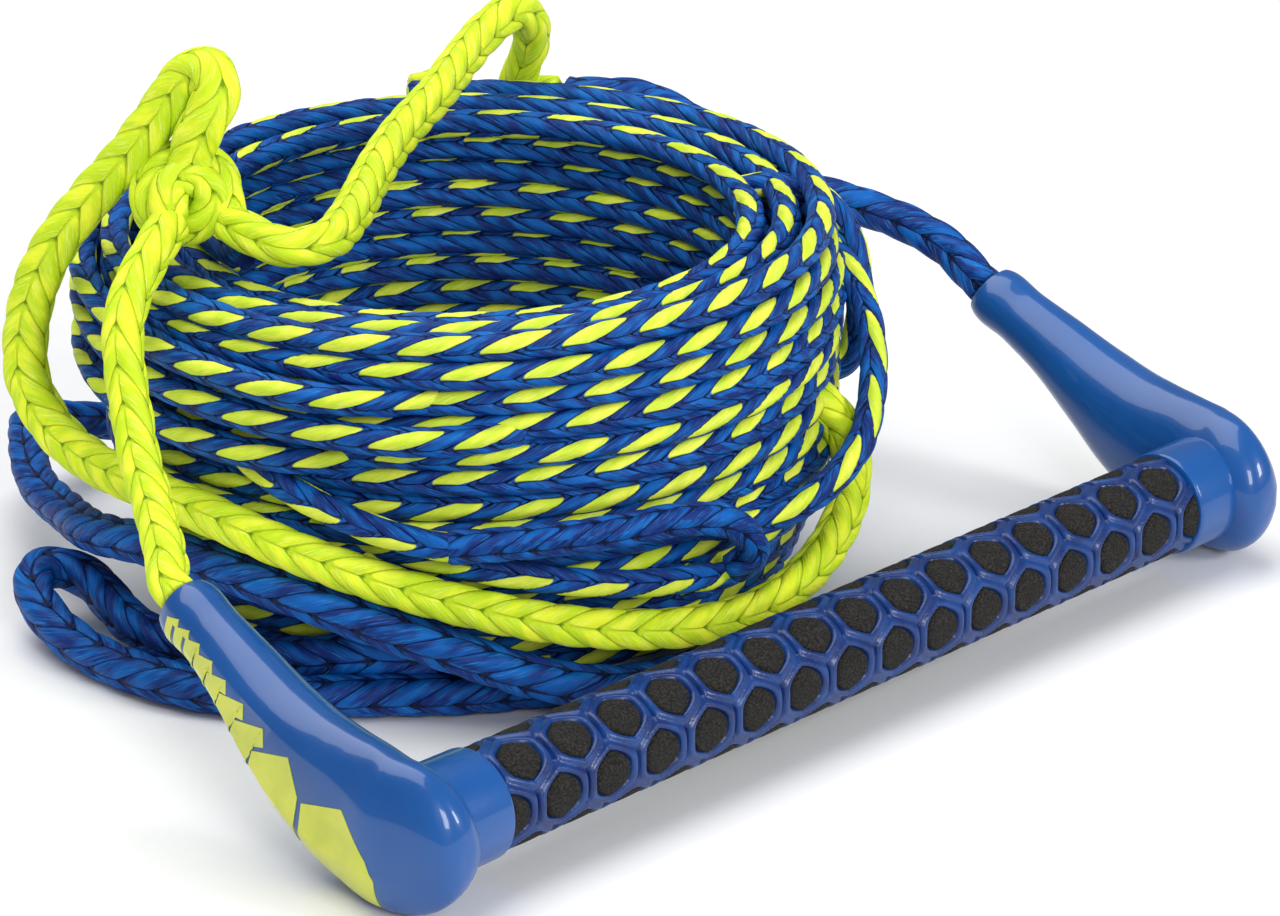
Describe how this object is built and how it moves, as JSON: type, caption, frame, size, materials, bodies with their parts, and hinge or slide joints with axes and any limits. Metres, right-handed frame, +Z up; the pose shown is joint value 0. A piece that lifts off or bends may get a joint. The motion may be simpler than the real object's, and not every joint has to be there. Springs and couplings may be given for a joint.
{
  "type": "tow rope handle",
  "caption": "Floating tow handle with a honeycomb rubber grip and glossy end covers on a rope bridle, with its braided tow line coiled behind it.",
  "frame": {"origin": "centre of the handle's bounding box on the floor it lies on, z = 0; the ropes are left out of that box", "axes": "+X along the bar, towards the cover with the blue rope; +Y from the bar towards the rope; +Z up"},
  "size_m": [0.3414, 0.2967, 0.1741],
  "materials": {
    "bar_aluminium": "drawn tube, satin",
    "float_foam": "closed-cell foam",
    "bush_nylon": "moulded nylon",
    "grip_foam": "speckled EVA foam, matte",
    "web_rubber": "moulded rubber, satin",
    "cover_vinyl": "dipped vinyl, glossy",
    "washer_steel": "stamped, plain",
    "lime_rope": "braided polyethylene, dyed",
    "blue_rope": "braided polyethylene, dyed",
    "lime_film": "printed film"
  },
  "bodies": {
    "rope": {"left_bridle_leg": "lime_rope", "bridle_knot": "lime_rope", "bridle_cross_leg": "lime_rope", "splice_tail": "lime_rope", "right_bridle_leg": "blue_rope", "lime_tail": "lime_rope", "boat_end_rope": "blue_rope", "boat_end_loop": "blue_rope", "take_off_loop": "blue_rope", "mainline_coil": "blue_rope"},
    "handle": {"bar_tube": "bar_aluminium", "float_core": "float_foam", "left_float_plug": "bush_nylon", "right_float_plug": "bush_nylon", "foam_sleeve": "grip_foam", "grip_web": "web_rubber", "left_cover": "cover_vinyl", "right_cover": "cover_vinyl", "left_rope_bush": "bush_nylon", "right_rope_bush": "bush_nylon", "left_rope_washer": "washer_steel", "right_rope_washer": "washer_steel", "left_rope_button": "lime_rope", "right_rope_button": "blue_rope", "left_rope_end": "lime_rope", "right_rope_end": "blue_rope", "left_cover_film": "lime_film", "right_cover_film": "lime_film"}
  },
  "joints": [
    {"name": "handle_swing", "type": "hinge", "parent": "rope", "child": "handle", "pos_m": [0, 0.05066, 0.057], "axis": [-1, 0, 0], "range_deg": [0, 75], "deforming": ["left_bridle_leg", "right_bridle_leg"]}
  ]
}
